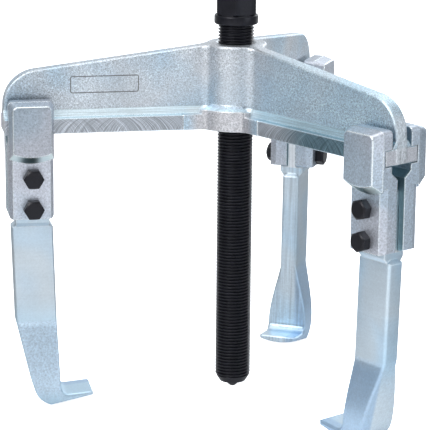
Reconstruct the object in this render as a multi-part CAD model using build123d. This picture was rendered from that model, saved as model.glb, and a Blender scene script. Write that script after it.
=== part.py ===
from build123d import *
import math
import os

# Universal three-arm gear puller. Millimetres, +Z up, spindle axis on Z.
# The rear arm points to +Y, the left and right ones to -X-Y and +X-Y.
# Heights are measured from the crossbeam's machined lower face. Every piece is
# then lifted by LIFT, which puts the origin at the pressure tip's point.
# Jaw parts are built in a jaw frame: u radially outwards, v tangential
# (counterclockwise seen from above), z up.

ARM_AZIMUTH = {"left": 210.0, "right": 330.0, "rear": 90.0}
ARM_PITCH = 120

# crossbeam: flange and web
ARM_END = 143.8          # arm end from the spindle axis
FLANGE_H = 9.5
FLANGE_HALF = 12.5       # half width of the milled guide flange
FORGED_HALF = 13.0       # half width of the unmilled root of the flange
MILL_START = 34.8        # where the milled guide begins
FLANGE_CHAMFER = 0.5
WEB_HALF = 4.7           # half thickness of the web
WEB_SINK = 2.0           # the web starts this deep in the flange
WEB_ROUND = 1.6          # rounding of the web's top edges
WEB_FILLET_R = 8.0       # blend from web to hub, in plan
BEVEL_HALF = 7.6         # half width of the bevel's foot
BEVEL_TOP = 13.6         # height where the bevel meets the web
BEVEL_OVERLAP = 0.001    # the bevel's foot is sunk this deep in the flange
SLOPE = 0.123            # fall of the arm's top edge
TOP_ARC_R = 90.0         # blend from the hub top into the slope
TOP_ARC_START = 9.0
END_R = 22.0             # rounding of the arm's end

# crossbeam: hub
HUB_R = 19.0
HUB_TOP = 51.5
LOBE_R = 24.5            # hub base radius
LOBE_FILLET_R = 4.0      # blend from flange to hub base, in plan
LOBE_TOP = 12.4          # hub base stands above the milled guides
LOBE_CLIP = 2.0          # arm stubs are kept this far beyond the hub base
LOBE_CONE_H = 3.0        # cone from hub base up to the hub
LOBE_CONE_INSET = 0.8
HUB_CONE_INSET = 0.5
LANE_MARGIN = 1.6        # lane left free in the base on each side of the bevel
BORE_CHAMFER = 1.4

# spindle
THREAD_R = 11.0          # crest radius
ROOT_R = 9.85
PITCH = 2.0
THREAD_TOP = 62.2
THREAD_BOTTOM = -159.8
BORE_R = THREAD_R + 0.05     # crossbeam bore, thread crests run in it
FIRST_GROOVE = 0.15          # from the thread's bottom
GROOVE_RISES = (0.68, 0.98, 1.66)  # root start, root end, next crest
END_BEVEL = (0.9, 1.4)       # lead-in below the thread: radius step, height
UNDERCUT = (0.6, 0.1)        # step between thread and collar: depth, height
SPINDLE_END = -165.5
END_LAND_R = 8.2
COLLAR_R = 13.5
COLLAR_Z = (63.0, 69.0)
COLLAR_ROUND = 1.3
HEX_AF = 24.0            # across flats
HEX_TOP = 91.0
HEX_TURN = 48.6
HEX_CROWN_INSET = 0.6    # crown cone's top radius, inside the flats
HEX_CROWN_RUN = 1.7      # crown cone's widening per mm of hexagon height
HEX_CROWN_EXTRA = 0.3
HEX_CROWN_SINK = 0.5     # the cone starts this far below the hexagon

# pressure tip
TIP_R = 3.5
TIP_BORE_R = TIP_R + 0.05
TIP_BORE_DEPTH = 9.0
TIP_GAP = 0.1            # between the tip's top and the bore's floor
TIP_CHAMFER = 0.5
TIP_END = -169.6
TIP_DOME = 2.6           # height of the tip's domed end
LIFT = -TIP_END

# hook leg
TANG_HALF_V = 2.9
TANG_HALF_U = 10.4
TANG_TOP = -15.5
TANG_ROUND = 2.0
SHOULDER_Z = -59.3
SHOULDER_RISE = 2.6      # height of the slope from shank to tang, along u
SHOULDER_RISES_V = (2.4, 0.3)  # upper and lower end of that slope, along v
SHANK_HALF_U = 12.7
SHANK_HALF_V = 5.6
LEG_U = -1.0             # leg's centre line from the cheeks' centre
LEG_LEAN = 0.031         # inward lean of the leg below its shoulder, per mm
LEG_CORNER_R = 1.6       # rounding of the leg's long corners
FLARE_Z = -121.0
FLARE_BEND_R = 8.0       # tight bend where the leg begins to widen
FLARE_ANGLE = 0.23       # radians
FLARE_MID = (11.4, -146) # (v, z) on the flare
FLARE_END_Z = -162
OUTER_TAPER_Z = -118.5   # the outer edge tapers in below this
OUTER_TAPER = 9.2 / 44.5 # inward, per mm of height
OUTER_BEND_R = 8.0
FOOT_HALF_V = 13.2
FOOT_TOP = -166.0        # at the foot's root
FOOT_ROOT_R = 5.0
FOOT_TIP_U = -32.8       # from the leg's centre line, inwards
FOOT_TIP_TOP = -164.3
FOOT_TIP_BOTTOM = -168.6
FOOT_TIP_ROUND = 1.2
HEEL_Z = -175.4
HEEL_R = 15.0
CROWN_R = 42.0           # crowned underside of the foot
TIP_CORNER_R = 3.2       # rounding of the foot's two tip corners, in plan

# sliding jaws, each at its own place along its arm
JAW_U = {"left": 128.0, "right": 130.3, "rear": 131.2}
CHEEK_HALF_U = 13.7
LIP_V = 7.8              # lip above the flange, inner face
GROOVE_V = FLANGE_HALF + 0.6
GROOVE_Z = (-0.35, FLANGE_H + 0.1)
LEDGE_V = LIP_V          # ledge below the flange, inner face
LEDGE_Z = -4.4           # lower end of the ledge's inner face
PLATE_IN_V = TANG_HALF_V + 0.1  # inner face beside the tang
TAPER_Z = -8.4           # lower end of the taper under the ledge
PLATE_V = 14.75          # outer face of the cheek plate
PLATE_Z = (-52.0, 20.8)
PLATE_TOP_R = 3.0
PLATE_FOOT_R = 2.0
PLATE_CHAMFER = (2.2, 4.2)   # outer corners of the lower plate, along u and v
CHAMFER_TOP = -13.0
PAD_V = 22.0             # outer face of the raised block
PAD_SINK = 0.5           # the block starts this deep in the plate
PAD_BOTTOM = -30         # before the cone rounds the lower end
PAD_HALF_U = 11.6        # half width of the block's face
PAD_TOP = 18.7
PAD_CORNER_R = 3.0
PAD_RIM_R = 0.9
PAD_CONE_R = 30.0        # rounded lower end of the block
PAD_CONE_DR = 5.7
PAD_CONE_Z = 18.1
NECK_HALF_V = 7.6        # thick neck just under the cheeks
NECK_Z = (PLATE_Z[0] - 0.2, -55.8)
NECK_TAPER = 2.2         # narrowing of the neck's lower end, each side
NECK_FOOT_Z = SHOULDER_Z + 0.4

# bolts and nuts
BOLT_Z = {"upper": -26.4, "lower": -45.5}
BOLT_U = -0.8
HOLE_R = 3.7
BOLT_R = 3.45
BOLT_CHAMFER = 0.6
NUT_BORE_R = BOLT_R + 0.05
HEAD_AF = 11.0
HEAD_H = 5.6
NUT_H = 5.0
HEAD_CROWN_INSET = 0.7
HEAD_CROWN_RUN = 1.5
BOLT_STICKOUT = 0.8
HEAD_SIDE = {"left": 1, "right": -1, "rear": -1}  # side of the jaw, along v
HEAD_TURN = {             # each bolt came to rest at its own angle
    ("left", "upper"): 29.0, ("left", "lower"): 31.0,
    ("right", "upper"): -14.0, ("right", "lower"): -6.0,
    ("rear", "upper"): 12.0, ("rear", "lower"): -4.0,
}


# helpers

def polar(radius, angle):
    return (radius * math.cos(math.radians(angle)), radius * math.sin(math.radians(angle)))


def turn(point, angle):
    c, s = math.cos(math.radians(angle)), math.sin(math.radians(angle))
    return (point[0] * c - point[1] * s, point[0] * s + point[1] * c)


def raised(shape, z):
    return shape.moved(Location((0, 0, z)))


def spun(shape, angle):
    """Shape turned about Z."""
    return shape.moved(Location((0, 0, 0), (0, 0, angle)))


def lines(points):
    return [Line(start, end) for start, end in zip(points, points[1:])]


def polygon(points):
    return Face(Wire(lines(points + points[:1])))


def to_vz(face):
    """Stand a face drawn in XY up in the v-z plane."""
    return Rot(0, 0, 90) * (Rot(90, 0, 0) * face)


# crossbeam

def star(half, hub_r, fillet_r, z, guide_half=None):
    """Plan of hub and three arms; with guide_half the arms change width at MILL_START."""
    # the concave fillet touches the arm's side at u = root_u, the hub at root_angle
    root_u = math.sqrt((hub_r + fillet_r) ** 2 - (half + fillet_r) ** 2)
    root_angle = math.degrees(math.atan2(half + fillet_r, root_u))
    centre_to_mid = polar(fillet_r, (root_angle + 90) / 2)
    mid_u = root_u - centre_to_mid[0]
    mid_v = half + fillet_r - centre_to_mid[1]

    if guide_half is None:
        side = [(ARM_END, half)]
    else:
        side = [(ARM_END, guide_half), (MILL_START, guide_half), (MILL_START, half)]
    side.append((root_u, half))
    end_half = side[0][1]
    outgoing = [(ARM_END, -end_half)] + side
    returning = [(u, -v) for u, v in reversed(side)]

    edges = []
    for k in range(3):
        here = 90 + ARM_PITCH * k
        following = here + ARM_PITCH
        hub_start = turn(polar(hub_r, root_angle), here)
        hub_end = turn(polar(hub_r, ARM_PITCH - root_angle), here)
        edges += lines([turn(point, here) for point in outgoing])
        edges += [
            ThreePointArc(turn((root_u, half), here), turn((mid_u, mid_v), here), hub_start),
            ThreePointArc(hub_start, polar(hub_r, here + ARM_PITCH / 2), hub_end),
            ThreePointArc(
                hub_end, turn((mid_u, -mid_v), following), turn((root_u, -half), following)
            ),
        ]
        edges += lines([turn(point, following) for point in returning])
    return raised(Face(Wire(edges)), z)


def top_cutter(azimuth):
    """Everything above one arm's sloping top edge and rounded end."""
    tilt = math.atan(SLOPE)

    def on_top_arc(angle):
        return (
            TOP_ARC_START + TOP_ARC_R * math.sin(angle),
            0,
            HUB_TOP - TOP_ARC_R * (1 - math.cos(angle)),
        )

    # end arc tangent to the slope and to the vertical end
    slope_start = on_top_arc(tilt)
    centre_u = ARM_END - END_R
    slope_z = slope_start[2] - SLOPE * (centre_u - slope_start[0])
    centre_z = slope_z - END_R / math.cos(tilt)
    slope_end = (centre_u + END_R * math.sin(tilt), 0, centre_z + END_R * math.cos(tilt))
    mid_angle = (math.pi / 2 - tilt) / 2
    end_mid = (
        centre_u + END_R * math.cos(mid_angle), 0, centre_z + END_R * math.sin(mid_angle)
    )
    arm_end = (ARM_END, 0, centre_z)
    hub_edge = (TOP_ARC_START, 0, HUB_TOP)
    beyond, above = ARM_END + 20, 70
    outside = [
        arm_end, (beyond, 0, centre_z), (beyond, 0, above), (TOP_ARC_START, 0, above), hub_edge
    ]
    edges = [
        ThreePointArc(hub_edge, on_top_arc(tilt / 2), slope_start),
        Line(slope_start, slope_end),
        ThreePointArc(slope_end, end_mid, arm_end),
        *lines(outside),
    ]
    return spun(extrude(Face(Wire(edges)), 30, dir=(0, 1, 0), both=True), azimuth)


def web():
    bottom = FLANGE_H - WEB_SINK
    body = extrude(star(WEB_HALF, HUB_R, WEB_FILLET_R, bottom), HUB_TOP - bottom)
    for azimuth in ARM_AZIMUTH.values():
        body -= top_cutter(azimuth)
    # all edges that don't reach down to the web's bottom
    top_edges = [e for e in body.edges() if e.bounding_box().min.Z > bottom + 1]
    return fillet(top_edges, WEB_ROUND)


def flange():
    plan = star(FORGED_HALF, LOBE_R, LOBE_FILLET_R, 0, guide_half=FLANGE_HALF)
    body = extrude(plan, FLANGE_H)
    level_edges = [
        e for e in body.edges() if e.bounding_box().max.Z - e.bounding_box().min.Z < 1e-6
    ]
    return chamfer(level_edges, FLANGE_CHAMFER)


def bevel():
    """Slope from the flange up to the web and hub."""
    run = BEVEL_HALF - WEB_HALF
    foot = star(BEVEL_HALF, HUB_R + run, WEB_FILLET_R - run, FLANGE_H - BEVEL_OVERLAP)
    return loft([foot, star(WEB_HALF, HUB_R, WEB_FILLET_R, BEVEL_TOP)], ruled=True)


def hub_base():
    """Hub base between the arms, with its own cone up to the hub body."""
    body = extrude(star(FORGED_HALF, LOBE_R, LOBE_FILLET_R, 0), LOBE_TOP)
    body = body & Cylinder(LOBE_R + LOBE_CLIP, 60)
    cone = Cone(LOBE_R - LOBE_CONE_INSET, HUB_R - HUB_CONE_INSET, LOBE_CONE_H)
    body += raised(cone, LOBE_TOP + LOBE_CONE_H / 2)
    for azimuth in ARM_AZIMUTH.values():
        lane = Box(60, 2 * (BEVEL_HALF + LANE_MARGIN), 60).moved(Location((30, 0, 0)))
        body -= spun(lane, azimuth)
    return body


def crossbeam():
    body = web() + flange() + bevel()
    body = body + hub_base()
    bore = raised(Cylinder(BORE_R, 80), 20)
    low = Cone(BORE_R + BORE_CHAMFER, BORE_R, BORE_CHAMFER)
    high = Cone(BORE_R, BORE_R + BORE_CHAMFER, BORE_CHAMFER)
    body = body - bore - raised(low, BORE_CHAMFER / 2)
    return body - raised(high, HUB_TOP - BORE_CHAMFER / 2)


# spindle and pressure tip

def threaded_rod():
    """Rod whose thread is a row of ring grooves."""
    bevel_depth, bevel_height = END_BEVEL
    step_depth, step_height = UNDERCUT
    root_start, root_end, crest = GROOVE_RISES
    profile = [                 # (radius, z)
        (0, SPINDLE_END),
        (END_LAND_R, SPINDLE_END),
        (THREAD_R - bevel_depth, THREAD_BOTTOM - bevel_height),
        (THREAD_R, THREAD_BOTTOM),
    ]
    for i in range(int((THREAD_TOP - THREAD_BOTTOM) / PITCH)):
        z = THREAD_BOTTOM + FIRST_GROOVE + i * PITCH
        profile += [
            (THREAD_R, z),
            (ROOT_R, z + root_start),
            (ROOT_R, z + root_end),
            (THREAD_R, z + crest),
        ]
    profile += [
        (THREAD_R, THREAD_TOP),
        (THREAD_R - step_depth, THREAD_TOP + step_height),
        (THREAD_R - step_depth, COLLAR_Z[0]),
        (0, COLLAR_Z[0]),
    ]
    return revolve(polygon([(radius, 0, z) for radius, z in profile]), Axis.Z, 360)


def spindle_hexagon():
    base = COLLAR_Z[1]
    height = HEX_TOP - base
    flat_r = HEX_AF / 2
    body = extrude(raised(RegularPolygon(flat_r, 6, major_radius=False), base), height)
    body = spun(body, HEX_TURN)
    cone_h = height + HEX_CROWN_SINK
    cone = Cone(
        flat_r + HEX_CROWN_EXTRA + height * HEX_CROWN_RUN, flat_r - HEX_CROWN_INSET, cone_h
    )
    return body & raised(cone, base + cone_h / 2 - HEX_CROWN_SINK)


def spindle():
    collar = raised(Cylinder(COLLAR_R, COLLAR_Z[1] - COLLAR_Z[0]), sum(COLLAR_Z) / 2)
    collar = fillet(collar.edges(), COLLAR_ROUND)
    hole = raised(Cylinder(TIP_BORE_R, TIP_BORE_DEPTH), SPINDLE_END + TIP_BORE_DEPTH / 2)
    return threaded_rod() + collar + spindle_hexagon() - hole


def pressure_tip():
    """Pin with a domed lower end."""
    dome_r = (TIP_R**2 + TIP_DOME**2) / (2 * TIP_DOME)
    half_angle = math.asin(TIP_R / dome_r) / 2
    dome_mid = (
        dome_r * math.sin(half_angle), 0, TIP_END + dome_r * (1 - math.cos(half_angle))
    )
    top = SPINDLE_END + TIP_BORE_DEPTH - TIP_GAP
    dome_rim = (TIP_R, 0, TIP_END + TIP_DOME)
    point = (0, 0, TIP_END)
    edges = [
        *lines([(0, 0, top), (TIP_R - TIP_CHAMFER, 0, top), (TIP_R, 0, top - TIP_CHAMFER), dome_rim]),
        ThreePointArc(dome_rim, dome_mid, point),
        Line(point, (0, 0, top)),
    ]
    return revolve(Face(Wire(edges)), Axis.Z, 360)


# cheeks

def drill_bolts(body):
    for z in BOLT_Z.values():
        body -= Cylinder(HOLE_R, 60).moved(Location((BOLT_U, 0, z), (90, 0, 0)))
    return body


def pad_section(half_u, top, v):
    """Rectangle in the u-z plane at v with rounded upper corners."""
    r = PAD_CORNER_R
    inset = r * (1 - math.sqrt(0.5))

    def at(u, z):
        return (u, v, z)

    edges = [
        *lines([at(-half_u, PAD_BOTTOM), at(half_u, PAD_BOTTOM), at(half_u, top - r)]),
        ThreePointArc(
            at(half_u, top - r), at(half_u - inset, top - inset), at(half_u - r, top)
        ),
        Line(at(half_u - r, top), at(-half_u + r, top)),
        ThreePointArc(
            at(-half_u + r, top), at(-half_u + inset, top - inset), at(-half_u, top - r)
        ),
        Line(at(-half_u, top - r), at(-half_u, PAD_BOTTOM)),
    ]
    return Face(Wire(edges))


def cheek_plate():
    bottom, top = PLATE_Z
    profile = [                 # (v, z)
        (LIP_V, top),
        (PLATE_V, top),
        (PLATE_V, bottom),
        (PLATE_IN_V, bottom),
        (PLATE_IN_V, TAPER_Z),
        (LEDGE_V, LEDGE_Z),
        (LEDGE_V, GROOVE_Z[0]),
        (GROOVE_V, GROOVE_Z[0]),
        (GROOVE_V, GROOVE_Z[1]),
        (LIP_V, GROOVE_Z[1]),
    ]
    face = polygon([(0, v, z) for v, z in profile])
    plate = extrude(face, CHEEK_HALF_U, dir=(1, 0, 0), both=True)
    for z, radius in ((top, PLATE_TOP_R), (bottom, PLATE_FOOT_R)):
        corners = [
            e for e in plate.edges().filter_by(Axis.Y) if abs(e.center().Z - z) < 0.01
        ]
        plate = fillet(corners, radius)
    # chamfer wedge for the lower plate's outer corners, 1 mm proud all round
    along_u, along_v = PLATE_CHAMFER
    wedge = polygon([
        (CHEEK_HALF_U + 1, PLATE_V - along_v - along_v / along_u, 0),
        (CHEEK_HALF_U + 1, PLATE_V + 1, 0),
        (CHEEK_HALF_U - along_u - along_u / along_v, PLATE_V + 1, 0),
    ])
    wedge_bottom = bottom - 1
    wedge = extrude(raised(wedge, wedge_bottom), CHAMFER_TOP - wedge_bottom, dir=(0, 0, 1))
    return plate - wedge - wedge.mirror(Plane.YZ)


def cheek_pad():
    """Raised block on the plate's outer face."""
    start_v = PLATE_V - PAD_SINK
    pad = loft(
        [
            pad_section(CHEEK_HALF_U, PLATE_Z[1], start_v),
            pad_section(PAD_HALF_U, PAD_TOP, PAD_V),
        ],
        ruled=True,
    )
    depth = PAD_V - start_v
    cone = Cone(PAD_CONE_R + PAD_CONE_DR, PAD_CONE_R, depth)
    pad = pad & cone.moved(Location((0, start_v + depth / 2, PAD_CONE_Z), (-90, 0, 0)))
    rim = [e for e in pad.edges() if abs(e.bounding_box().min.Y - PAD_V) < 0.01]
    return fillet(rim, PAD_RIM_R)


def cheek():
    """Cheek on the +v side."""
    return drill_bolts(cheek_plate() + cheek_pad())


# hook leg, foot pointing to -u

def leg_point(u, z):
    """(u, z) in the jaw frame of a point given from the leg's leaning centre line."""
    return (u + LEG_LEAN * min(z - SHOULDER_Z, 0) + LEG_U, z)


HEEL = leg_point(SHANK_HALF_U + OUTER_TAPER * (HEEL_Z - OUTER_TAPER_Z), HEEL_Z)
FOOT_TIP = leg_point(FOOT_TIP_U, FOOT_TIP_BOTTOM)


def leg_side():
    """Leg's outline in u-z, extruded along v."""
    tang_in = leg_point(-TANG_HALF_U, TANG_TOP)
    tang_out = leg_point(TANG_HALF_U, TANG_TOP)
    taper_start = leg_point(SHANK_HALF_U, OUTER_TAPER_Z)
    tip_top = leg_point(FOOT_TIP_U, FOOT_TIP_TOP)
    foot_root = leg_point(-SHANK_HALF_U, FOOT_TOP)
    outline = [
        tang_in,
        tang_out,
        leg_point(TANG_HALF_U, SHOULDER_Z + SHOULDER_RISE),
        leg_point(SHANK_HALF_U, SHOULDER_Z),
        taper_start,
        HEEL,
        FOOT_TIP,
        tip_top,
        foot_root,
        leg_point(-SHANK_HALF_U, SHOULDER_Z),
        leg_point(-TANG_HALF_U, SHOULDER_Z + SHOULDER_RISE),
    ]
    corner_radii = (
        (taper_start, OUTER_BEND_R), (HEEL, HEEL_R),
        (FOOT_TIP, FOOT_TIP_ROUND), (tip_top, FOOT_TIP_ROUND), (foot_root, FOOT_ROOT_R),
        (tang_in, TANG_ROUND), (tang_out, TANG_ROUND),
    )
    side = make_face(Polyline(*outline, close=True))
    for (u, z), radius in corner_radii:
        corner = [p for p in side.vertices() if abs(p.X - u) < 1e-3 and abs(p.Y - z) < 1e-3]
        side = fillet(corner, radius)
    return extrude(Rot(90, 0, 0) * side, 20, dir=(0, 1, 0), both=True)


def leg_front():
    """Leg's outline in v-z, extruded along u: thin tang, shank and flared foot."""
    def bend(share):
        angle = FLARE_ANGLE * share
        return (
            SHANK_HALF_V + FLARE_BEND_R * (1 - math.cos(angle)),
            FLARE_Z - FLARE_BEND_R * math.sin(angle),
        )

    above, below = TANG_TOP + 1, -185
    flare_start = (SHANK_HALF_V, FLARE_Z)
    flare_end = (FOOT_HALF_V, FLARE_END_Z)
    slope_top, slope_foot = SHOULDER_RISES_V
    half = make_face([
        *lines([
            (0, above),
            (TANG_HALF_V, above),
            (TANG_HALF_V, SHOULDER_Z + slope_top),
            (SHANK_HALF_V, SHOULDER_Z + slope_foot),
            flare_start,
        ]),
        ThreePointArc(flare_start, bend(0.5), bend(1.0)),
        Spline(
            bend(1.0),
            FLARE_MID,
            flare_end,
            tangents=((math.sin(FLARE_ANGLE), -math.cos(FLARE_ANGLE)), (0, -1)),
        ),
        *lines([flare_end, (FOOT_HALF_V, below), (0, below), (0, above)]),
    ])
    front = half + half.mirror(Plane.YZ)
    return extrude(to_vz(front), 60, dir=(1, 0, 0), both=True)


def is_long_corner(edge):
    """Whether an edge is one of the long corners, from the shoulders to the foot's tip."""
    box = edge.bounding_box()
    return (
        box.max.Z < SHOULDER_Z + 0.5
        and box.max.Y - box.min.Y < 9
        and box.max.Z - box.min.Z > 0.5
        and abs(edge.center().Y) > 3
    )


def neck():
    """Thick neck between the cheeks' lower ends and the shank."""
    top, taper_top = NECK_Z
    foot_half = NECK_HALF_V - NECK_TAPER
    outline = Polyline(
        (-NECK_HALF_V, top), (NECK_HALF_V, top), (NECK_HALF_V, taper_top),
        (foot_half, NECK_FOOT_Z), (-foot_half, NECK_FOOT_Z), (-NECK_HALF_V, taper_top),
        close=True,
    )
    body = extrude(to_vz(make_face(outline)), TANG_HALF_U, dir=(1, 0, 0), both=True)
    return body.moved(Location((LEG_U, 0, 0)))


def crown_cutter():
    """What lies below the foot's underside, crowned across v, from heel to tip."""
    run, rise = HEEL[0] - FOOT_TIP[0], HEEL[1] - FOOT_TIP[1]
    tilt = math.degrees(math.atan2(-rise, run))
    mid_u, mid_z = (HEEL[0] + FOOT_TIP[0]) / 2, (HEEL[1] + FOOT_TIP[1]) / 2
    axis_u = mid_u + CROWN_R * math.sin(math.radians(tilt))
    axis_z = mid_z + CROWN_R * math.cos(math.radians(tilt))
    axis_at = Location((axis_u, 0, axis_z), (0, tilt, 0))
    length = 70
    crown = Cylinder(CROWN_R, length, rotation=(0, 90, 0)).moved(axis_at)
    slab = raised(Box(length, 40, 8), -CROWN_R).moved(axis_at)
    return slab - crown


def tip_corner_cutter(side):
    """Waste outside the plan rounding of the foot's tip corner on one side (+1 or -1) of v."""
    r, z = TIP_CORNER_R, -167
    block = Box(r + 4, r + 4, 14)
    block = block.moved(
        Location((FOOT_TIP[0] - 2 + r / 2, side * (FOOT_HALF_V + 2 - r / 2), z))
    )
    post = Cylinder(r, 16).moved(Location((FOOT_TIP[0] + r, side * (FOOT_HALF_V - r), z)))
    return block - post


def hook():
    leg = leg_side() & leg_front()
    leg = fillet([e for e in leg.edges() if is_long_corner(e)], LEG_CORNER_R)
    leg = leg + neck()
    leg = leg - crown_cutter()
    for side in (1, -1):
        leg = leg - tip_corner_cutter(side)
    return drill_bolts(leg)


# bolts and nuts

def hex_prism(height):
    """Hexagonal prism up from z = 0, flats towards +-Y, its top end chamfered."""
    flat_r = HEAD_AF / 2
    prism = extrude(RegularPolygon(flat_r, 6, major_radius=False, rotation=30), height)
    top_r = flat_r - HEAD_CROWN_INSET
    return prism & raised(Cone(top_r + height * HEAD_CROWN_RUN, top_r, height), height / 2)


def bolt():
    """Bolt with its head seated on v = PLATE_V, shank running to -v."""
    length = 2 * PLATE_V + NUT_H + BOLT_STICKOUT
    shank = raised(Cylinder(BOLT_R, length), -length / 2)
    shank = chamfer(shank.edges().sort_by(Axis.Z)[0], BOLT_CHAMFER)
    body = hex_prism(HEAD_H) + shank
    return body.moved(Location((0, 0, 0), (-90, 0, 0))).moved(Location((0, PLATE_V, 0)))


def nut():
    """Nut seated on v = -PLATE_V."""
    body = hex_prism(NUT_H) - Cylinder(NUT_BORE_R, 20)
    return body.moved(Location((0, 0, 0), (90, 0, 0))).moved(Location((0, -PLATE_V, 0)))


# placing and saving

def save(shape, name):
    solids = shape.solids()
    shape = solids[0] if len(solids) == 1 else Compound(children=list(solids))
    export_step(raised(shape, LIFT), f"parts/{name}.step")


def save_on_arm(shape, arm, name):
    """Save a piece moved from the jaw frame to its place on an arm."""
    save(spun(shape.moved(Location((JAW_U[arm], 0, 0))), ARM_AZIMUTH[arm]), name)


os.makedirs("parts", exist_ok=True)
save(crossbeam(), "crossbeam")
save(spindle(), "spindle")
save(pressure_tip(), "pressure_tip")

cheek_a = cheek()
cheek_b = cheek_a.mirror(Plane.XZ)
leg = hook()
fasteners = {"bolt": bolt(), "nut": nut()}
for arm in ARM_AZIMUTH:
    save_on_arm(leg, arm, f"hook_{arm}")
    save_on_arm(cheek_a, arm, f"cheek_{arm}_a")
    save_on_arm(cheek_b, arm, f"cheek_{arm}_b")
    half_turn = 0 if HEAD_SIDE[arm] > 0 else 180
    for level, z in BOLT_Z.items():
        seat = Location((BOLT_U, 0, z), (0, 0, half_turn))
        twist = Location((0, 0, 0), (0, HEAD_TURN[arm, level], 0))
        for kind, piece in fasteners.items():
            save_on_arm(piece.moved(twist).moved(seat), arm, f"{kind}_{arm}_{level}")
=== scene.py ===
"""A three-armed puller: a crossbeam, hooks and cheeks in zinc, a black threaded spindle.

Metres, +Z up. The spindle stands on the Z axis; the crossbeam's arms point to the front left,
the front right and the rear (+Y). The camera looks from -Y, turned a little towards +X.
"""
import math
from functools import cached_property

import bmesh
import bpy
from mathutils import Matrix, Vector


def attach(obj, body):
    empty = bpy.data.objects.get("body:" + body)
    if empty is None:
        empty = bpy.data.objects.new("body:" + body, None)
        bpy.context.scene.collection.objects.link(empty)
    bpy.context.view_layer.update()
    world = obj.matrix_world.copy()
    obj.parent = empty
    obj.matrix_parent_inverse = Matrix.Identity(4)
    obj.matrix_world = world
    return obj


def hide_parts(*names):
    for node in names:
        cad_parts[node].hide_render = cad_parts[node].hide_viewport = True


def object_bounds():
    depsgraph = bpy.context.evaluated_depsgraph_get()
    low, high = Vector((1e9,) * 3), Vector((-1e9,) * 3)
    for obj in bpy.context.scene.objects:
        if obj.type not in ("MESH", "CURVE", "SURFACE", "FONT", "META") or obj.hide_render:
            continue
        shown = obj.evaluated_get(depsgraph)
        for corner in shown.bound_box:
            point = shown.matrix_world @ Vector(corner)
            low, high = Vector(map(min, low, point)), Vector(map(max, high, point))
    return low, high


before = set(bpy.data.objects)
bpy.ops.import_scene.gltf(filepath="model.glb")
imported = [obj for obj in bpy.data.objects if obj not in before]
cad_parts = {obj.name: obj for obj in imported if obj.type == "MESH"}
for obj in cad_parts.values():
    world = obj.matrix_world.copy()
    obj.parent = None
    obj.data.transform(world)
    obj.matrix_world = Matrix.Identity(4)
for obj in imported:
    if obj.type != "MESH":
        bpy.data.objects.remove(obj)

cad_low, cad_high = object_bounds()
scene = bpy.context.scene

ARM_AZIMUTH = {"left": 210.0, "right": 330.0, "rear": 90.0}  # degrees from +X
BEAM_FACE = 0.1696  # height of the crossbeam's machined lower face
SKIN_MEAN = 0.525   # middle value of the mixed grains below


# ------------------------------------------------------------------ node helpers
class Signal:
    """A node's output that can be calculated with; each operation adds a node."""

    def __init__(self, tree, socket):
        self.tree = tree
        self.socket = socket

    def __add__(self, other):
        return self.tree.math("ADD", self, other)

    def __radd__(self, other):
        return self.tree.math("ADD", other, self)

    def __sub__(self, other):
        return self.tree.math("SUBTRACT", self, other)

    def __rsub__(self, other):
        return self.tree.math("SUBTRACT", other, self)

    def __mul__(self, other):
        return self.tree.math("MULTIPLY", self, other)

    def __abs__(self):
        return self.tree.math("ABSOLUTE", self)

    def larger(self, other):
        return self.tree.math("MAXIMUM", self, other)

    def root(self):
        """Square root, with negative values taken as 0."""
        return self.tree.math("SQRT", self.larger(0.0))

    def map_range(self, kind, start, end, at_start, at_end):
        return self.tree.signal("ShaderNodeMapRange", {
            "Value": self, "From Min": start, "From Max": end,
            "To Min": at_start, "To Max": at_end}, "Result", interpolation_type=kind)

    def ramp(self, start, end, at_start=0.0, at_end=1.0):
        """Smooth change from at_start to at_end, constant outside."""
        return self.map_range("SMOOTHSTEP", start, end, at_start, at_end)

    def linear(self, at_start, at_end, start=0.3, end=0.7):
        """Straight change, by default over the middle of a noise's range."""
        return self.map_range("LINEAR", start, end, at_start, at_end)

    def blend(self, to, by):
        return self.tree.mix(by, self, to)

    def shade(self, by):
        return self.tree.shade(self, by)


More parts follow.
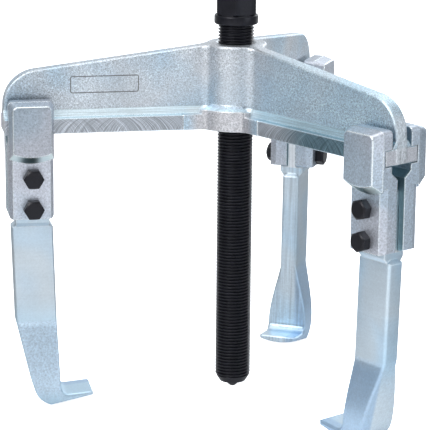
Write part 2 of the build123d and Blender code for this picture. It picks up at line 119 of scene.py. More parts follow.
class Tree:
    """Builds a node tree. Inputs are numbers, tuples, strings or signals."""

    def __init__(self, node_tree):
        self.nodes = node_tree.nodes
        self.links = node_tree.links
        self.nodes.clear()
        self.normal = None

    def put(self, socket, value):
        if isinstance(value, Signal):
            self.links.new(value.socket, socket)
        elif isinstance(value, tuple) and socket.type == "RGBA":
            socket.default_value = (*value, 1.0)
        else:
            socket.default_value = value

    def add(self, kind, inputs=None, **properties):
        node = self.nodes.new(kind)
        for name, value in properties.items():
            setattr(node, name, value)
        for key, value in (inputs or {}).items():
            self.put(node.inputs[key], value)
        return node

    def signal(self, kind, inputs=None, output=0, **properties):
        return Signal(self, self.add(kind, inputs, **properties).outputs[output])

    @cached_property
    def position(self):
        return self.signal("ShaderNodeTexCoord", output="Object")

    @cached_property
    def geometry(self):
        return self.add("ShaderNodeNewGeometry")

    def math(self, operation, first, second=0.0):
        return self.signal("ShaderNodeMath", {0: first, 1: second, 2: 0.0}, operation=operation)

    def vector(self, operation, first, second=(0, 0, 0)):
        output = "Value" if operation in ("DOT_PRODUCT", "LENGTH") else 0
        return self.signal("ShaderNodeVectorMath", {0: first, 1: second}, output,
                           operation=operation)

    def shifted(self, x, y, z):
        return self.vector("ADD", self.position, (x, y, z))

    def stretched(self, x, y, z):
        return self.vector("MULTIPLY", self.position, (x, y, z))

    def split(self, vector):
        node = self.add("ShaderNodeSeparateXYZ", {0: vector})
        return [Signal(self, output) for output in node.outputs]

    def split_face_normal(self):
        return self.split(Signal(self, self.geometry.outputs["True Normal"]))

    def join(self, x, y, z):
        return self.signal("ShaderNodeCombineXYZ", {0: x, 1: y, 2: z})

    def noise(self, scale, detail=2.0, rough=0.5, distortion=0.0, at=None):
        return self.signal("ShaderNodeTexNoise", {
            "Vector": at or self.position, "Scale": scale, "Detail": detail,
            "Roughness": rough, "Distortion": distortion}, "Fac")

    def mix(self, by, start, end):
        return self.signal("ShaderNodeMix", {0: by, 6: start, 7: end}, 2, data_type="RGBA")

    def mix_value(self, by, start, end):
        return self.signal("ShaderNodeMix", {0: by, 2: start, 3: end}, data_type="FLOAT")

    def shade(self, colour, by):
        """Colour times a grey factor."""
        return self.signal("ShaderNodeMix", {0: 1.0, 6: colour, 7: self.join(by, by, by)}, 2,
                           data_type="RGBA", blend_type="MULTIPLY")

    def edge(self, radius, start=0.02, end=0.16):
        """1 on edges, 0 on flat faces; the rounded normal goes under later bumps."""
        self.normal = self.signal("ShaderNodeBevel", {"Radius": radius}, samples=6)
        flat = Signal(self, self.geometry.outputs["Normal"])
        return (1.0 - self.vector("DOT_PRODUCT", self.normal, flat)).ramp(start, end)

    def bump(self, height, depth, strength=1.0):
        """Lay a bump of this depth in metres over the normal so far."""
        inputs = {"Height": height, "Distance": depth, "Strength": strength}
        if self.normal:
            inputs["Normal"] = self.normal
        self.normal = self.signal("ShaderNodeBump", inputs)

    def surface(self, colour, metallic, rough, more=None):
        shader = self.signal("ShaderNodeBsdfPrincipled", {
            "Base Color": colour, "Metallic": metallic, "Roughness": rough,
            "Normal": self.normal, **(more or {})})
        self.add("ShaderNodeOutputMaterial", {"Surface": shader})


def new_material(name):
    material = bpy.data.materials.new(name)
    material.use_nodes = True
    return material, Tree(material.node_tree)


# ------------------------------------------------------------------ places on the arms
def along_arm(tree, arm):
    """Distance out from the axis along an arm."""
    angle = math.radians(ARM_AZIMUTH[arm])
    return tree.vector("DOT_PRODUCT", tree.position, (math.cos(angle), math.sin(angle), 0))


def across_arm(tree, arm):
    """Distance across an arm, positive on its counterclockwise side from above."""
    angle = math.radians(ARM_AZIMUTH[arm])
    return tree.vector("DOT_PRODUCT", tree.position, (-math.sin(angle), math.cos(angle), 0))


def nearest_arm(tree):
    """Distance across the nearest arm, and two signals whose larger is the distance out."""
    left, right, rear = [along_arm(tree, arm) for arm in ARM_AZIMUTH]
    across_left, across_right, across_rear = [across_arm(tree, arm) for arm in ARM_AZIMUTH]
    across = tree.mix_value(tree.math("GREATER_THAN", right, left), across_left, across_right)
    front = left.larger(right)
    across = tree.mix_value(tree.math("GREATER_THAN", rear, front), across, across_rear)
    return across, (front, rear)


def left_mask(tree):
    return along_arm(tree, "left").ramp(start=0.02, end=0.03)


def height_over_face(tree):
    return tree.split(tree.position)[2] - BEAM_FACE


def facing_outward(tree):
    """1 where a face looks away from the axis, -1 where it looks towards it."""
    x, y, _ = tree.split_face_normal()
    outward = tree.vector("NORMALIZE", tree.stretched(1.0, 1.0, 0.0))
    return tree.vector("DOT_PRODUCT", tree.join(x, y, 0.0), outward)


# ------------------------------------------------------------------ zinc plate
ZINC_METALLIC = 0.92


def passivation(tree, cool, warm, amount):
    """Slow drift of hue and brightness over a zinc coat."""
    broad = tree.noise(scale=16.0, detail=2.0, rough=0.45, distortion=0.6)
    patch = tree.noise(scale=34.0, detail=3.0, rough=0.5, distortion=0.4,
                       at=tree.shifted(3.1, 1.7, 0.4))
    colour = tree.mix(broad.ramp(start=0.36, end=0.64), cool, warm)
    return colour.shade(patch.linear(at_start=1.0 - 0.06 * amount, at_end=1.0 + 0.05 * amount))


def grain(tree, size, offset):
    """Fine forged grain, about `size` metres across."""
    place = tree.shifted(offset, offset * 0.7, offset * 0.3)
    cloud = tree.noise(scale=1.0 / size, detail=3.0, rough=0.75, at=place)
    cells = tree.signal("ShaderNodeTexVoronoi", {
        "Vector": place, "Scale": 1.0 / size, "Smoothness": 0.5}, "Distance",
        feature="SMOOTH_F1")
    return cloud * 0.75 + cells * 0.35


def speckle(tree, colour, skin, strength):
    """Colour made lighter and darker by the grain."""
    return tree.shade(colour, 1.0 + (skin - SKIN_MEAN) * strength)


# ------------------------------------------------------------------ crossbeam
def cutter_arcs(tree, along, height, across):
    """Crossing arcs left on the guide by the face of the cutter."""
    cutter_radius = 0.0135
    from_centre = height - 0.0002
    swing = (cutter_radius * cutter_radius - from_centre * from_centre).root()
    wobble = (tree.noise(scale=70.0, at=tree.join(along, 0.0, 0.0)) - 0.5) * 0.004
    arcs = []
    # which way the arcs lean, their fineness, and an offset that makes the two sets differ
    for lean, fineness, offset in ((1.0, 1350.0, 0.0), (-1.0, 1050.0, 3.0)):
        phase = along + wobble + swing * (lean * 1.6) + height * (-0.35 * lean)
        lines = tree.noise(scale=fineness, detail=3.0, rough=0.75,
                           at=tree.join(phase, offset, across))
        arcs.append(lines.ramp(start=0.40, end=0.66))
    patches = tree.noise(scale=70.0, at=tree.join(along, height, across))
    choice = patches.ramp(start=0.40, end=0.60, at_start=0.25, at_end=1.0)
    return arcs[0] * choice + arcs[1] * (1.1 - choice)


def plate_masks(tree, along, height):
    """Outline and inside of the blank rating plate on the left arm's front side."""
    centre_along, centre_height = 0.0820, 0.0285
    half_length, half_height, corner = 0.0208, 0.0050, 0.0012
    beyond_x = (abs(along - centre_along) - (half_length - corner)).larger(0.0)
    beyond_y = (abs(height - centre_height) - (half_height - corner)).larger(0.0)
    distance = tree.vector("LENGTH", tree.join(beyond_x, beyond_y, 0.0)) - corner
    front = across_arm(tree, "left").ramp(start=0.002, end=0.004)
    side = front * along.ramp(start=0.05, end=0.052)
    outline = abs(distance).ramp(start=0.00042, end=0.00022) * side
    inside = distance.ramp(start=-0.0006, end=-0.0009) * side
    return outline, inside


def crossbeam_material():
    """Forged zinc skin with a milled guide along each arm."""
    material, tree = new_material("crossbeam_zinc")
    x, y, z = tree.split(tree.position)
    height = z - BEAM_FACE
    left, right, rear = [along_arm(tree, arm) for arm in ARM_AZIMUTH]
    along = left.larger(right).larger(rear)
    radius = tree.vector("LENGTH", tree.join(x, y, 0.0))
    across = (radius * radius - along * along).root()
    upward = tree.split_face_normal()[2]

    # forged skin, calmer in places; painted shade darkens the left arm outwards, and a painted
    # bluish reflection tints the right one
    skin = grain(tree, size=0.00105, offset=0.0) * 0.40 + grain(tree, size=0.0006, offset=2.0) * 0.65
    calm = tree.noise(scale=22.0, at=tree.shifted(0.2, 5.0, 1.0)).ramp(
        start=0.35, end=0.62, at_start=0.65, at_end=1.0)
    colour = passivation(tree, cool=(0.445, 0.558, 0.65), warm=(0.555, 0.585, 0.62), amount=1.3)
    colour = colour.blend(to=colour.shade(0.84), by=left.ramp(start=0.085, end=0.125))
    colour = colour.blend(to=(0.47, 0.61, 0.70), by=right.ramp(start=0.022, end=0.05) * 0.55)
    low_hub = radius.ramp(start=0.036, end=0.028) * height.ramp(start=0.0130, end=0.0124)
    colour = colour.blend(to=(0.53, 0.527, 0.545), by=low_hub)
    colour = speckle(tree, colour, skin, strength=calm * 4.2)

    # milled guide: its upright sides, then its flat top
    arcs = cutter_arcs(tree, along, height, across)
    milled = along.ramp(start=0.0346, end=0.0349) * height.ramp(start=0.0098, end=0.0095)
    upright = abs(upward).ramp(start=0.5, end=0.2)
    sides = milled * upright * along.ramp(start=0.14376, end=0.14368)
    # painted shade: the milled sides turn dark teal on the right arm
    side_shade_colour = tree.mix(right.ramp(start=0.045, end=0.080),
                           start=(0.52, 0.55, 0.595), end=(0.165, 0.265, 0.318))
    arc_shade = arcs.linear(at_start=0.62, at_end=1.52, start=0.2, end=1.0)
    colour = colour.blend(to=side_shade_colour.shade(arc_shade), by=sides)
    flat_top = milled * upward.ramp(start=0.5, end=0.9)
    colour = colour.blend(to=(0.52, 0.68, 0.76), by=flat_top)

    # bevel above the guide, with painted shade making it darker on the right arm
    bevel = height.ramp(start=0.0094, end=0.0096) * height.ramp(start=0.0140, end=0.0135)
    bevel = bevel * abs(upward).ramp(start=0.15, end=0.4)
    bevel_colour = tree.mix(right.ramp(start=0.02, end=0.03),
                            start=(0.66, 0.80, 0.86), end=(0.42, 0.60, 0.68))
    colour = colour.blend(to=bevel_colour, by=bevel * 0.7)
    # drawn lines along the guide's top and the bevel
    drawn = tree.noise(scale=1.0, rough=0.6,
                       at=tree.join(along * 28.0, height * 1500.0, across * 1500.0))
    drawn_shade = drawn.linear(at_start=0.76, at_end=1.16, start=0.32, end=0.68)
    colour = colour.blend(to=colour.shade(drawn_shade), by=bevel.larger(flat_top))

    # arm end: the face below, and trimmed forging flash up the middle, rough, with a painted
    # highlight on it
    flash = along.ramp(start=0.1385, end=0.1425) * across.ramp(start=0.0052, end=0.0030)
    face = along.ramp(start=0.14368, end=0.14376) * height.ramp(start=0.0098, end=0.0095)
    colour = colour.blend(to=speckle(tree, (0.60, 0.61, 0.65), skin, strength=1.8), by=face)
    torn = tree.noise(scale=900.0, detail=3.0, rough=0.8, at=tree.stretched(1.0, 1.0, 0.6))
    torn_shade = torn.linear(at_start=0.4, at_end=1.35)
    colour = colour.blend(to=tree.shade((0.74, 0.78, 0.82), torn_shade), by=flash * 0.8)

    # sparse thin scratches
    scratches = tree.noise(scale=1.0, rough=0.6, distortion=1.2,
                           at=tree.stretched(240.0, 240.0, 1700.0))
    colour = colour.blend(to=(0.80, 0.84, 0.88), by=scratches.ramp(start=0.70, end=0.76) * 0.35)

    outline, inside = plate_masks(tree, left, height)
    colour = colour.blend(to=(0.45, 0.47, 0.48), by=inside * 0.10)
    colour = colour.blend(to=(0.12, 0.115, 0.105), by=outline * 0.85)

    # painted highlight along the edges, broken up by noise
    edge_wear_and_highlight = tree.edge(radius=0.0010)
    highlight_gaps = tree.noise(scale=900.0, rough=0.7).ramp(
        start=0.30, end=0.55, at_start=0.45, at_end=0.95)
    colour = colour.blend(to=(0.93, 0.97, 0.99), by=edge_wear_and_highlight * highlight_gaps)
    rough = 0.38 + (skin - 0.5) * 0.25
    rough = tree.mix_value(sides, start=rough, end=0.36)
    rough = tree.mix_value(flat_top, start=rough, end=0.24)
    rough = rough - edge_wear_and_highlight * 0.12

    # the skin is smooth where milled and nearly so on the slanting faces low down
    slant = height.ramp(start=0.0165, end=0.0158) * abs(upward).ramp(start=0.15, end=0.4)
    skin_depth = (1.0 - milled) * calm * (1.0 - slant * 0.8)
    tree.bump(skin * skin_depth, depth=0.00022)
    tree.bump(arcs * sides, depth=0.00008)
    tree.bump(torn * flash, depth=0.00045)
    tree.bump(outline * -1.0, depth=0.00006)
    tree.surface(colour, ZINC_METALLIC, rough)
    return material


# ------------------------------------------------------------------ hooks and cheeks
def hook_material():
    """Smooth ground shank, coarser forged flare, with a painted highlight along its corners."""
    material, tree = new_material("hook_zinc")
    height = height_over_face(tree)
    across, _ = nearest_arm(tree)
    upward = tree.split_face_normal()[2]
    skin = grain(tree, size=0.0014, offset=1.0) * 0.6 + grain(tree, size=0.0007, offset=4.0) * 0.4

    # the left hook's flare keeps its coarse skin, the other flares are smoother
    on_left = left_mask(tree)
    flare = height.ramp(start=-0.1185, end=-0.1205) * height.ramp(start=-0.172, end=-0.160)
    flare = flare * tree.mix_value(on_left, start=0.22, end=1.0)
    flare = flare * upward.ramp(start=0.5, end=0.2)
    coarseness = 0.25 + flare * 0.75

    colour = passivation(tree, cool=(0.50, 0.68, 0.83), warm=(0.63, 0.72, 0.79), amount=1.2)
    # painted shade: a darker copy of the zinc colour for the left hook
    left_shaded_colour = passivation(tree, cool=(0.46, 0.585, 0.69), warm=(0.56, 0.62, 0.665),
                              amount=1.0)
    colour = colour.blend(to=left_shaded_colour, by=on_left)
    left_low = on_left * height.ramp(start=-0.100, end=-0.128)
    colour = colour.blend(to=(0.52, 0.70, 0.83), by=left_low * 0.8)
    colour = colour.blend(to=(0.59, 0.72, 0.84), by=flare * on_left)
    # low down, the side clockwise from the arm seen from above is bluer
    low_side = height.ramp(start=-0.1185, end=-0.1225) * across.ramp(start=-0.004, end=-0.007)
    colour = colour.blend(to=(0.40, 0.56, 0.74), by=low_side * 0.8)
    # painted light: the tang, the hook's top between the cheeks, is made much lighter
    painted_tang_light = height.ramp(start=-0.0535, end=-0.0525)
    colour = colour.blend(to=(0.80, 0.84, 0.88), by=painted_tang_light)
    colour = speckle(tree, colour, skin, strength=coarseness * 1.5)

    # faint rolling ripple across the shank; streaks along the inner face, ground lengthwise
    ripple = tree.noise(scale=1.0, rough=0.55, at=tree.stretched(18.0, 18.0, 620.0))
    streak = tree.noise(scale=1.0, rough=0.6, at=tree.stretched(620.0, 620.0, 9.0))
    inner_face = facing_outward(tree).ramp(start=-0.6, end=-0.9)
    colour = colour.shade(ripple.linear(at_start=0.98, at_end=1.02))
    streaked = colour.shade(streak.linear(at_start=0.80, at_end=1.16))
    colour = colour.blend(to=streaked, by=inner_face)
    # painted light on the upward faces of the feet
    foot_top_light = upward.ramp(start=0.4, end=0.7) * height.ramp(start=-0.150, end=-0.155)
    colour = colour.blend(to=colour.shade(1.13), by=foot_top_light)

    # painted highlight along the corners, broken up by noise
    edge_wear_and_highlight = tree.edge(radius=0.0014)
    highlight_breakup = tree.noise(scale=700.0, detail=3.0, rough=0.7).ramp(
        start=0.35, end=0.6, at_start=0.30, at_end=0.9)
    colour = colour.blend(to=(0.90, 0.94, 0.97), by=edge_wear_and_highlight * highlight_breakup)
    tree.bump(skin * coarseness, depth=0.00022)
    tree.bump(ripple, depth=0.00003)
    tree.bump(streak * inner_face, depth=0.00006)
    rough = 0.32 + (skin - 0.5) * 0.2 + flare * 0.08
    tree.surface(colour, ZINC_METALLIC, rough)
    return material


def cheek_material():
    """Grained lavender-grey forging with painted highlights on its edges."""
    material, tree = new_material("cheek_zinc")
    skin = grain(tree, size=0.0012, offset=7.0) * 0.6 + grain(tree, size=0.0006, offset=9.0) * 0.4
    colour = passivation(tree, cool=(0.49, 0.575, 0.66), warm=(0.58, 0.60, 0.66), amount=1.0)
    colour = speckle(tree, colour, skin, strength=1.9)
    across, reaches = nearest_arm(tree)
    along = reaches[0].larger(reaches[1])
    aside = abs(across)
    height = height_over_face(tree)
    upward = tree.split_face_normal()[2]

    # the raised block's face is a shade darker, most of all on the left arm
    face_shade = tree.mix_value(left_mask(tree), start=0.97, end=0.74)
    colour = colour.blend(to=colour.shade(face_shade), by=aside.ramp(start=0.0216, end=0.0219))
    # painted highlights on the rims, around the block's face and around its foot
    rim = aside.ramp(start=0.02105, end=0.0213) * aside.ramp(start=0.02195, end=0.0218)
    foot = aside.ramp(start=0.0152, end=0.0149) * (
        aside.ramp(start=0.01476, end=0.01480) * height.ramp(start=0.012, end=0.010))
    # rounded lower end of the block: painted highlights at both ends, painted shade in the middle
    from_middle = abs(along - 0.1298)
    underside = upward.ramp(start=-0.2, end=-0.4) * (
        aside.ramp(start=0.0150, end=0.0154) * aside.ramp(start=0.0212, end=0.0209))
    underside_shade_and_highlight = tree.mix(from_middle.ramp(start=0.0020, end=0.0085),
                            start=(0.13, 0.20, 0.21), end=(0.80, 0.92, 0.93))
    colour = colour.blend(to=underside_shade_and_highlight, by=underside)
    # painted shade on the faces turned towards the hook, down in the slot
    sideways = abs(facing_outward(tree)).ramp(start=0.5, end=0.3)
    slot_shade = sideways * aside.ramp(start=0.0080, end=0.0075)
    colour = colour.blend(to=(0.17, 0.32, 0.36), by=slot_shade * 0.75)

    # painted highlight on the edges and on the rims
    edge_wear_and_highlight = tree.edge(radius=0.0011).larger(rim.larger(foot))
    colour = colour.blend(to=(0.93, 0.99, 1.0), by=edge_wear_and_highlight * 0.9)
    tree.bump(skin, depth=0.00018)
    rough = 0.40 + (skin - 0.5) * 0.2 - edge_wear_and_highlight * 0.15
    tree.surface(colour, ZINC_METALLIC, rough)
    return material


# ------------------------------------------------------------------ black parts
def black_material(name, base, rough, wear, oil=0.0):
    """Near-black and slightly mottled, with steel showing faintly on the edges."""
    material, tree = new_material(name)
    mottle = tree.noise(scale=240.0, detail=4.0, rough=0.6)
    fine = tree.noise(scale=1800.0, rough=0.6)
    colour = tree.shade(base, mottle.linear(at_start=0.75, at_end=1.35))
    edge_wear_and_highlight = tree.edge(radius=0.0004, end=0.2)
    colour = colour.blend(to=(0.17, 0.175, 0.19), by=edge_wear_and_highlight * wear)
    tree.bump(fine, depth=0.00003, strength=0.6)
    tree.bump(mottle, depth=0.00004, strength=0.5)
    tree.surface(colour, metallic=0.55, rough=rough + mottle.linear(at_start=-0.07, at_end=0.08),
                 more={"Coat Weight": oil, "Coat Roughness": 0.25})
    return material


MATERIALS = {
    "crossbeam": crossbeam_material(),
    "hook": hook_material(),
    "cheek": cheek_material(),
    "spindle": black_material("black_oxide", base=(0.007, 0.007, 0.012), rough=0.34,
                              wear=0.25, oil=0.1),
    "tip": black_material("tip_steel", base=(0.045, 0.045, 0.05), rough=0.30, wear=0.5),
    "bolt": black_material("bolt_black", base=(0.008, 0.008, 0.012), rough=0.34,
                           wear=0.55, oil=0.1),
}
SHARED_MATERIAL = {"pressure": "tip", "nut": "bolt"}


# ------------------------------------------------------------------ shading of the CAD pieces
def tidy_group():
    """Geometry nodes: drop imported normals, shade smooth across edges below 24 degrees."""
    group = bpy.data.node_groups.new("tidy_normals", "GeometryNodeTree")
    for direction in ("INPUT", "OUTPUT"):
        group.interface.new_socket("Geometry", in_out=direction, socket_type="NodeSocketGeometry")
    tree = Tree(group)
    smooth_kind = "GeometryNodeSetShadeSmooth"
    shape = tree.signal("NodeGroupInput")
    shape = tree.signal("GeometryNodeRemoveAttribute",
                        {"Geometry": shape, "Name": "custom_normal"})
    shape = tree.signal(smooth_kind, {"Geometry": shape}, domain="FACE")
    angle = tree.signal("GeometryNodeInputMeshEdgeAngle", output="Unsigned Angle")
    shallow = tree.signal("FunctionNodeCompare", {"A": angle, "B": math.radians(24)},
                          data_type="FLOAT", operation="LESS_THAN")
    shape = tree.signal(smooth_kind, {"Geometry": shape, "Shade Smooth": shallow}, domain="EDGE")
    tree.add("NodeGroupOutput", {0: shape})
    return group


TIDY = tidy_group()


def tidy(piece):
    piece.modifiers.new("tidy", "NODES").node_group = TIDY


for name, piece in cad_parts.items():
    kind = name.split("_")[0]
    piece.data.materials.clear()
    piece.data.materials.append(MATERIALS[SHARED_MATERIAL.get(kind, kind)])
    piece.modifiers.new("weld", "WELD").merge_threshold = 2e-6
    tidy(piece)


# ------------------------------------------------------------------ spindle
SPINDLE_FOOT = BEAM_FACE - 0.1655
COLLAR_BASE = BEAM_FACE + 0.0630
COLLAR_TOP = BEAM_FACE + 0.069
HEX_TOP = BEAM_FACE + 0.091

PITCH = 0.002
CREST_RADIUS = 0.011
ROOT_RADIUS = 0.00985
SEGMENTS = 64
# one pitch of the thread: (fraction of the pitch, 0 at the root to 1 at the crest)
THREAD_PROFILE = [
    (0.00, 1.0), (0.085, 1.0), (0.17, 0.78), (0.34, 0.22), (0.425, 0.0),
    (0.575, 0.0), (0.66, 0.22), (0.83, 0.78), (0.915, 1.0), (0.9575, 1.0),
]
FOOT_RADIUS = 0.0082      # at the narrow end of the foot's chamfer
CHAMFER_HEIGHT = 0.0046
CHAMFER_CUTS = (0.0008, 0.0016, 0.0024, 0.0032, 0.0040)
NECK_RADIUS = 0.0104      # under the collar
NECK_HEIGHT = 0.0006
NECK_SLOPE = 0.55
# bore in the foot: (radius, height over the foot)
BORE = [(0.0046, 0.0), (0.0038, 0.0006), (0.00355, 0.0009), (0.00355, 0.009), (0.0012, 0.0094)]
COLLAR_RADIUS = 0.0135
COLLAR_ROUNDING = 0.0013
HEX_TURN = 48.6           # degrees
HEX_FLAT_RADIUS = 0.012   # half the distance across flats
HEX_CORNER_RADIUS = 0.01362
HEX_CROWN = 0.0016        # height of the turned-down top of the corners
CROWN_STEPS = 6


def thread_limit(z):
    """Largest radius at a height: the chamfer at the foot and the neck under the collar."""
    rise = z - SPINDLE_FOOT
    foot = math.inf
    if rise < CHAMFER_HEIGHT:
        foot = FOOT_RADIUS + (CREST_RADIUS - FOOT_RADIUS) * max(rise / CHAMFER_HEIGHT, 0.0)
    return min(foot, NECK_RADIUS + max(COLLAR_BASE - z - NECK_HEIGHT, 0.0) * NECK_SLOPE)


def helical_tube(mesh):
    """A tube of helical rows, longer than the thread by two pitches at the foot."""
    turn_rows = len(THREAD_PROFILE)
    turns = int((COLLAR_BASE - SPINDLE_FOOT) / PITCH) + 4
    rows = []
    for turn in range(turns):
        for fraction, depth in THREAD_PROFILE:
            row = []
            radius = ROOT_RADIUS + (CREST_RADIUS - ROOT_RADIUS) * depth
            for s in range(SEGMENTS):
                angle = 2 * math.pi * s / SEGMENTS
                z = SPINDLE_FOOT - 2 * PITCH + (turn + fraction + s / SEGMENTS) * PITCH
                row.append(mesh.verts.new((radius * math.cos(angle), radius * math.sin(angle), z)))
            rows.append(row)
    for k in range(len(rows) - 1):
        for s in range(SEGMENTS - 1):
            mesh.faces.new((rows[k][s], rows[k][s + 1], rows[k + 1][s + 1], rows[k + 1][s]))
        # the end of a row meets the start of the row one turn further up
        if k + turn_rows + 1 < len(rows):
            mesh.faces.new((rows[k][-1], rows[k + turn_rows][0],
                            rows[k + turn_rows + 1][0], rows[k + 1][-1]))


def cut(mesh, z, clear_above=False, clear_below=False):
    bmesh.ops.bisect_plane(mesh, geom=mesh.verts[:] + mesh.edges[:] + mesh.faces[:], dist=1e-8,
                           plane_co=(0, 0, z), plane_no=(0, 0, 1),
                           clear_outer=clear_above, clear_inner=clear_below)


def add_thread(mesh):
    helical_tube(mesh)
    cut(mesh, SPINDLE_FOOT, clear_below=True)
    cut(mesh, COLLAR_BASE, clear_above=True)
    # more rows near the ends, so the chamfer and the neck are crisp
    for rise in CHAMFER_CUTS:
        cut(mesh, SPINDLE_FOOT + rise)
    cut(mesh, COLLAR_BASE - NECK_HEIGHT)
    for vert in mesh.verts:
        radius = math.hypot(vert.co.x, vert.co.y)
        limit = thread_limit(vert.co.z)
        if radius > limit:
            vert.co.x *= limit / radius
            vert.co.y *= limit / radius
    bmesh.ops.remove_doubles(mesh, verts=mesh.verts, dist=1e-7)


def rim_loop(mesh, z):
    """The vertices of the open rim at a height, in order around it."""
    rim = [edge for edge in mesh.edges
           if edge.is_boundary and all(abs(vert.co.z - z) < 1e-6 for vert in edge.verts)]
    rim_edges = set(rim)
    start = vert = rim[0].verts[0]
    loop, came_by = [start], None
    while True:
        onward = [e for e in vert.link_edges if e in rim_edges and e is not came_by]
        if not onward:
            break
        came_by = onward[0]
        vert = came_by.other_vert(vert)
        if vert is start:
            break
        loop.append(vert)
    return loop


def lathe(mesh, loop, stations, outline=lambda angle: math.inf):
    """Lathe on from a loop through (radius, z) stations, kept inside an outline."""
    angles = [math.atan2(vert.co.y, vert.co.x) for vert in loop]
    for radius, z in stations:
        ring = []
        for angle in angles:
            reach = min(outline(angle), radius)
            ring.append(mesh.verts.new((reach * math.cos(angle), reach * math.sin(angle), z)))
        for i in range(len(loop)):
            j = (i + 1) % len(loop)
            mesh.faces.new((loop[i], loop[j], ring[j], ring[i]))
        loop = ring
    return loop


def collar_stations():
    """A disc with rounded lower and upper rims."""
    inner = COLLAR_RADIUS - COLLAR_ROUNDING
    bends = [math.radians(degrees) for degrees in range(0, 91, 18)]
    lower = [(inner + COLLAR_ROUNDING * math.sin(bend),
              COLLAR_BASE + COLLAR_ROUNDING - COLLAR_ROUNDING * math.cos(bend)) for bend in bends]
    upper = [(inner + COLLAR_ROUNDING * math.cos(bend),
              COLLAR_TOP - COLLAR_ROUNDING + COLLAR_ROUNDING * math.sin(bend)) for bend in bends]
    return lower + upper


def hexagon(angle):
    from_flat = (math.degrees(angle) - HEX_TURN) % 60.0 - 30.0
    return HEX_FLAT_RADIUS / math.cos(math.radians(from_flat))


def hex_stations():
    """Limiting radii up the hexagon: undercut, corners, crown and a dimple on top."""
    stations = [(0.0121, COLLAR_TOP), (0.0128, COLLAR_TOP + 0.0004),
                (HEX_CORNER_RADIUS, COLLAR_TOP + 0.0011), (HEX_CORNER_RADIUS, HEX_TOP - 0.0030)]
    for step in range(CROWN_STEPS + 1):
        z = HEX_TOP - HEX_CROWN + step * HEX_CROWN / CROWN_STEPS
        stations.append((min(HEX_CORNER_RADIUS, 0.0116 + (HEX_TOP - z) * 1.35), z))
    return stations + [(0.0109, HEX_TOP), (0.0040, HEX_TOP), (0.0022, HEX_TOP - 0.0012)]


def spindle():
    """Threaded spindle with a bored foot, a collar and a hexagon."""
    mesh = bmesh.new()
    add_thread(mesh)
    bore = [(radius, SPINDLE_FOOT + rise) for radius, rise in BORE]
    mesh.faces.new(lathe(mesh, rim_loop(mesh, SPINDLE_FOOT), bore))
    collar = lathe(mesh, rim_loop(mesh, COLLAR_BASE), collar_stations())
    mesh.faces.new(lathe(mesh, collar, hex_stations(), outline=hexagon))
    bmesh.ops.recalc_face_normals(mesh, faces=mesh.faces)
    piece = mesh_object("spindle_thread", mesh)
    piece.data.materials.append(MATERIALS["spindle"])
    tidy(piece)
    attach(piece, "spindle")
    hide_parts("spindle")


def mesh_object(name, mesh):
    """A smooth-shaded object from a bmesh, which is freed."""
    data = bpy.data.meshes.new(name)
    mesh.to_mesh(data)
    mesh.free()
    for polygon in data.polygons:
        polygon.use_smooth = True
    made = bpy.data.objects.new(name, data)
    scene.collection.objects.link(made)
    return made


spindle()

# ------------------------------------------------------------------ floor
STUDIO_TURN = 19.17   # degrees from -Y to the camera's side
FLOOR_DROP = 0.0001   # below the lowest piece
FLOOR_HALF_WIDTH = 8.0
SWEEP_START, SWEEP_RADIUS = 3.0, 1.5
FRONT_TONE, SIDE_TONE, NEAR_TONE = 1.0, 0.38, 0.80  # brightness by direction and nearness
CAMERA_GLOW = 1.0     # emission seen by the camera
BACK_GLOW = 0.57      # emission of the backdrop, seen in reflections only


def floor_material():
    """Pale paper, brightest near the object and towards the camera's side."""
    material, tree = new_material("floor_paint")
    paper = tree.noise(scale=3.0, detail=3.0)
    flat = tree.stretched(1.0, 1.0, 0.0)
    facing = tree.vector("DOT_PRODUCT", tree.vector("NORMALIZE", flat), (0.0, -1.0, 0.0))
    near = tree.vector("LENGTH", flat).ramp(start=0.10, end=0.45, at_start=1.0, at_end=0.0)
    tone = facing.ramp(start=0.2, end=0.95, at_start=SIDE_TONE, at_end=FRONT_TONE)
    tone = tone.larger(near * NEAR_TONE)
    colour = tree.mix(paper.ramp(start=0.3, end=0.7),
                      start=(0.96, 0.98, 1.0), end=(0.98, 0.99, 1.0)).shade(tone)
    seen = tree.signal("ShaderNodeLightPath", output="Is Camera Ray")
    # a lit backdrop behind the object, mirrored by faces that look up
    far = tree.vector("LENGTH", flat).ramp(start=0.6, end=1.6)
    backdrop = facing.ramp(start=-0.45, end=-0.85) * far * BACK_GLOW * (1.0 - seen)
    colour = colour.blend(to=(0.90, 0.905, 0.91), by=seen)
    tree.bump(tree.noise(scale=180.0), depth=0.0002, strength=0.3)
    tree.surface(colour, metallic=0.0, rough=0.8, more={
        "Emission Color": (0.96, 0.98, 1.0),
        "Emission Strength": seen * CAMERA_GLOW + backdrop})
    return material


def floor():
    """A studio floor that curves up far behind the object."""
    profile = [(-6.0, 0.0), (SWEEP_START, 0.0)]
    for degrees in range(10, 91, 10):
        bend = math.radians(degrees)
        profile.append((SWEEP_START + SWEEP_RADIUS * math.sin(bend),
                        SWEEP_RADIUS - SWEEP_RADIUS * math.cos(bend)))
    profile.append((SWEEP_START + SWEEP_RADIUS, 6.0))
    mesh = bmesh.new()
    rows = [[mesh.verts.new((x, y, z)) for x in (-FLOOR_HALF_WIDTH, FLOOR_HALF_WIDTH)]
            for y, z in profile]
    for row, following in zip(rows, rows[1:]):
        mesh.faces.new((row[0], row[1], following[1], following[0]))
    sweep = mesh_object("floor", mesh)
    sweep.location = (0, 0, cad_low.z - FLOOR_DROP)
    sweep.rotation_euler = (0, 0, math.radians(STUDIO_TURN))
    sweep.data.materials.append(floor_material())


floor()

# ------------------------------------------------------------------ lights and world
LIGHT_TARGET = Vector((0, 0, 0.12))


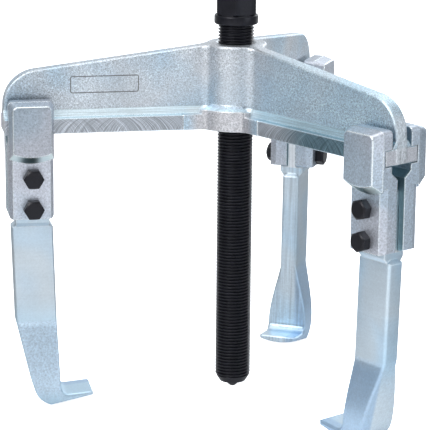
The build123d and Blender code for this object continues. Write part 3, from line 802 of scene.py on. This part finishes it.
def area(name, azimuth, distance, height, size, power, colour=(1, 1, 1)):
    """An area light; azimuth 0 is the camera's side, positive to the camera's right."""
    data = bpy.data.lights.new(name, "AREA")
    data.shape = "RECTANGLE"
    data.size, data.size_y = size
    data.energy = power
    data.color = colour
    light = bpy.data.objects.new(name, data)
    angle = math.radians(-90 + STUDIO_TURN + azimuth)
    place = Vector((distance * math.cos(angle), distance * math.sin(angle), height))
    light.location = place
    light.rotation_euler = (LIGHT_TARGET - place).to_track_quat("-Z", "Y").to_euler()
    scene.collection.objects.link(light)


area("key", azimuth=-38, distance=1.5, height=1.25, size=(1.0, 1.0), power=17.0,
     colour=(1.0, 0.99, 0.98))
area("fill", azimuth=62, distance=1.6, height=0.55, size=(0.9, 1.3), power=5.5,
     colour=(0.90, 0.96, 1.0))
area("top", azimuth=0, distance=0, height=1.7, size=(1.4, 1.4), power=9.0)
area("rim", azimuth=150, distance=1.5, height=0.9, size=(0.8, 1.2), power=5.0,
     colour=(0.93, 0.97, 1.0))


def studio_world():
    """Pale sky, brighter overhead; plain white to the camera."""
    world = bpy.data.worlds.new("studio")
    scene.world = world
    world.use_nodes = True
    tree = Tree(world.node_tree)
    upward = tree.split(tree.signal("ShaderNodeTexCoord", output="Generated"))[2]
    sky = tree.mix(upward.ramp(start=-0.1, end=0.75),
                   start=(0.62, 0.68, 0.76), end=(1.05, 1.08, 1.12))
    seen = tree.signal("ShaderNodeLightPath", output="Is Camera Ray")
    light = tree.signal("ShaderNodeBackground", {
        "Color": sky.blend(to=(2.4, 2.4, 2.4), by=seen), "Strength": 0.50})
    tree.add("ShaderNodeOutputWorld", {0: light})


studio_world()
scene.view_settings.view_transform = "Standard"
scene.view_settings.look = "None"
scene.view_settings.exposure = 0.0

# ------------------------------------------------------------------ camera
CAMERA_TURN = 19.1704346  # degrees about Z, applied to the pose below
CAMERA_YAW, CAMERA_PITCH, CAMERA_ROLL = -0.6503787, 14.0030838, -0.3345276  # degrees
CAMERA_PLACE = (-0.0125623, -1.3310848, 0.2772782)  # height is over the beam's face
SENSOR_WIDTH, LENS = 36.0, 183.929688               # millimetres
SHIFT_X, SHIFT_Y = 0.05828417209, -0.0122765186     # in sensor widths


def add_camera():
    yaw, pitch, roll = map(math.radians, (CAMERA_YAW, CAMERA_PITCH, CAMERA_ROLL))
    forward = Vector((math.sin(yaw) * math.cos(pitch), math.cos(yaw) * math.cos(pitch),
                      -math.sin(pitch)))
    right = Vector((math.cos(yaw), -math.sin(yaw), 0.0))
    down = forward.cross(right)
    cos, sin = math.cos(roll), math.sin(roll)
    right, down = cos * right + sin * down, cos * down - sin * right
    turn = Matrix.Rotation(math.radians(CAMERA_TURN), 3, "Z")
    forward, right, down, eye = [
        turn @ vector for vector in (forward, right, down, Vector(CAMERA_PLACE))]
    eye.z += BEAM_FACE

    data = bpy.data.cameras.new("camera")
    data.sensor_width = SENSOR_WIDTH
    data.lens = LENS
    data.shift_x, data.shift_y = SHIFT_X, SHIFT_Y
    data.clip_start, data.clip_end = 0.05, 40.0
    camera = bpy.data.objects.new("camera", data)
    axes = Matrix((right, -down, -forward)).transposed().to_4x4()
    camera.matrix_world = Matrix.Translation(eye) @ axes
    scene.collection.objects.link(camera)
    scene.camera = camera


add_camera()
